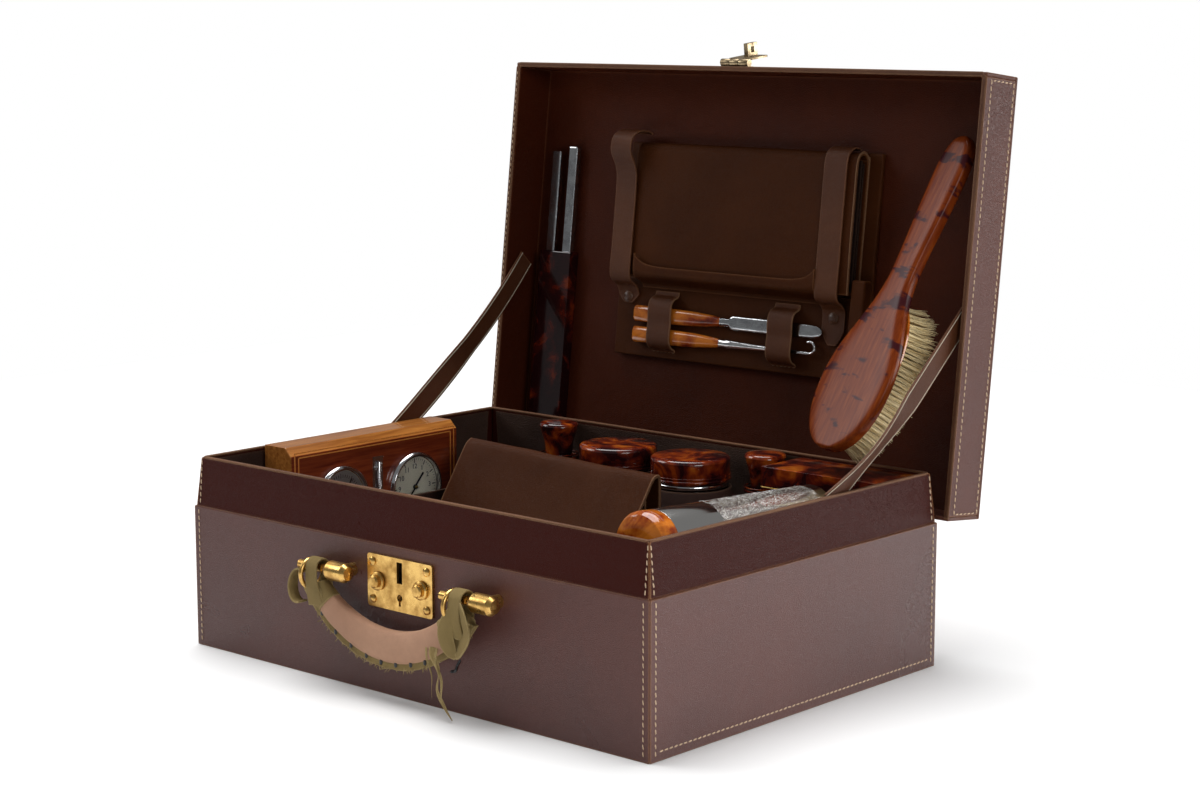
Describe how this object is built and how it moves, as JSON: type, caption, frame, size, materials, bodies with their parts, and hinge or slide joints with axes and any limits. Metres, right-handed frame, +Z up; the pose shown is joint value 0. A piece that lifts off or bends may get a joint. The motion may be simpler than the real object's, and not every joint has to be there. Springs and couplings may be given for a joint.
{
  "type": "fitted dressing box",
  "caption": "Antique leather fitted dressing case, lid hinged open, with lock and hasp, carry handle, clock set, bottles and jars, brush, tube, combs, manicure tools and writing wallet.",
  "frame": {"origin": "centre of the underside of the case body", "axes": "+X to the right of the front with the lock, +Y to the back where the hinges are, +Z up"},
  "size_m": [0.433, 0.3958, 0.4174],
  "materials": {
    "leather": "worn glossy oxblood leather",
    "lining": "dark red-brown leather lining",
    "floor": "dark leather",
    "brass": "tarnished polished brass",
    "dark_metal": "dark bronzed metal",
    "grip": "worn pinkish tan leather",
    "wallet_leather": "brown leather",
    "strap": "red-brown leather strap",
    "paper": "cream paper leaves",
    "tortoise": "polished tortoiseshell",
    "steel": "polished steel",
    "wood": "polished inlaid wood",
    "chrome": "chrome",
    "dial": "cream enamel dials",
    "glass": "clear glass",
    "hands": "blackened hands",
    "pouch": "dark brown leather",
    "silver": "etched silver",
    "cap": "amber brass cap",
    "bristle": "cream bristles"
  },
  "bodies": {
    "case": {"base_floor": "floor", "base_front": "leather", "base_back": "leather", "base_left": "leather", "base_right": "leather", "pocket_panels": "lining", "jar_tray": "lining", "lock_case": "dark_metal", "lock_plate": "brass", "lock_screws": "brass", "handle_mounts": "brass", "handle_rings": "brass", "hinge_base_leaves": "brass", "hinge_pins": "brass", "left_stay": "strap", "right_stay": "strap", "scent_bottles": "glass", "cream_jars": "glass", "long_box": "tortoise", "long_box_lid": "tortoise"},
    "lid": {"hinge_lid_leaves": "brass", "lid_top": "leather", "lid_front": "leather", "lid_back": "leather", "lid_left": "leather", "lid_right": "leather", "hasp_plate": "dark_metal", "hasp_pin": "dark_metal", "wallet_board": "wallet_leather", "wallet_straps": "wallet_leather", "strap_snaps": "wallet_leather", "tool_loops": "wallet_leather", "comb_sheath": "wallet_leather"},
    "left_knob": {"left_lock_knob": "brass"},
    "right_knob": {"right_lock_knob": "brass"},
    "grip": {"handle_grip": "grip"},
    "hasp": {"hasp_leaf": "dark_metal"},
    "wallet": {"wallet_cover": "wallet_leather", "wallet_papers": "paper"},
    "file": {"file_handle": "tortoise", "file_blade": "steel"},
    "button_hook": {"hook_handle": "tortoise", "hook_shank": "steel"},
    "combs": {"combs": "steel"},
    "clock": {"clock_case": "wood", "dial_bezels": "chrome", "dials": "dial", "dial_glasses": "glass", "thermometer": "chrome"},
    "hour": {"hour_hand": "hands"},
    "minute": {"minute_hand": "hands"},
    "pouch": {"folded_case": "pouch"},
    "tube": {"tube_body": "silver"},
    "cap": {"tube_cap": "cap"},
    "brush": {"brush_back": "tortoise", "brush_bristles": "bristle"},
    "left_bottle_cap": {"left_scent_cap": "tortoise"},
    "right_bottle_cap": {"right_scent_cap": "tortoise"},
    "jar_lid_left": {"left_jar_lid": "tortoise"},
    "jar_lid_right": {"right_jar_lid": "tortoise"}
  },
  "joints": [
    {"name": "lid_hinge", "type": "hinge", "parent": "case", "child": "lid", "pos_m": [0, 0.1512, 0.1], "axis": [-1, 0, 0], "range_deg": [-96.6, 0], "deforming": ["left_stay", "right_stay"]},
    {"name": "clock_stow", "type": "slide", "parent": "case", "child": "clock", "axis": [0, 0, 1], "range_m": [-0.022, 0]},
    {"name": "pouch_stow", "type": "slide", "parent": "case", "child": "pouch", "axis": [0, 0, 1], "range_m": [-0.022, 0]},
    {"name": "tube_stow", "type": "slide", "parent": "case", "child": "tube", "axis": [0, 0, 1], "range_m": [-0.065, 0]},
    {"name": "brush_stow", "type": "hinge", "parent": "case", "child": "brush", "pos_m": [0, 0.10996, 0.11904], "axis": [-1, 0, 0], "range_deg": [-118.63, 0]},
    {"name": "left_knob_slide", "type": "slide", "parent": "case", "child": "left_knob", "axis": [-1, 0, 0], "range_m": [0, 0.003], "stiffness_N_per_m": 150},
    {"name": "right_knob_slide", "type": "slide", "parent": "case", "child": "right_knob", "axis": [1, 0, 0], "range_m": [0, 0.003], "stiffness_N_per_m": 150},
    {"name": "handle_swing", "type": "hinge", "parent": "case", "child": "grip", "pos_m": [0, -0.1605, 0.079], "axis": [-1, 0, 0], "range_deg": [0, 95]},
    {"name": "hasp_hinge", "type": "hinge", "parent": "lid", "child": "hasp", "pos_m": [0, 0.18875, 0.40279], "axis": [1, 0, 0], "range_deg": [0, 167]},
    {"name": "wallet_slide", "type": "slide", "parent": "lid", "child": "wallet", "axis": [1, 0, 0], "range_m": [0, 0.04]},
    {"name": "comb_slide", "type": "slide", "parent": "lid", "child": "combs", "axis": [0, 0.1149, 0.9934], "range_m": [0, 0.04]},
    {"name": "file_slide", "type": "slide", "parent": "lid", "child": "file", "axis": [-1, 0, 0], "range_m": [0, 0.02]},
    {"name": "hook_slide", "type": "slide", "parent": "lid", "child": "button_hook", "axis": [-1, 0, 0], "range_m": [0, 0.02]},
    {"name": "minute_turn", "type": "hinge", "parent": "clock", "child": "minute", "pos_m": [-0.1719, 0.0265, 0.092], "axis": [1, 0, 0], "continuous": true},
    {"name": "hour_turn", "type": "hinge", "parent": "clock", "child": "hour", "pos_m": [-0.1719, 0.0265, 0.092], "axis": [1, 0, 0], "continuous": true},
    {"name": "left_bottle_cap_lift", "type": "slide", "parent": "case", "child": "left_bottle_cap", "axis": [0, 0, 1], "range_m": [0, 0.04]},
    {"name": "right_bottle_cap_lift", "type": "slide", "parent": "case", "child": "right_bottle_cap", "axis": [0, 0, 1], "range_m": [0, 0.04]},
    {"name": "left_jar_lid_lift", "type": "slide", "parent": "case", "child": "jar_lid_left", "axis": [0, 0, 1], "range_m": [0, 0.04]},
    {"name": "right_jar_lid_lift", "type": "slide", "parent": "case", "child": "jar_lid_right", "axis": [0, 0, 1], "range_m": [0, 0.04]},
    {"name": "tube_cap_turn", "type": "hinge", "parent": "tube", "child": "cap", "pos_m": [0.1789, -0.1255, 0.1235], "axis": [0, -0.9988, 0.0489], "continuous": true}
  ],
  "couplings": [
    {"joint": "clock_stow", "follows": "lid_hinge", "m_per_rad": 0.013049},
    {"joint": "pouch_stow", "follows": "lid_hinge", "m_per_rad": 0.013049},
    {"joint": "tube_stow", "follows": "lid_hinge", "m_per_rad": 0.038553},
    {"joint": "brush_stow", "follows": "lid_hinge", "ratio": 1.2279},
    {"joint": "hour_turn", "follows": "minute_turn", "ratio": 0.083333}
  ]
}
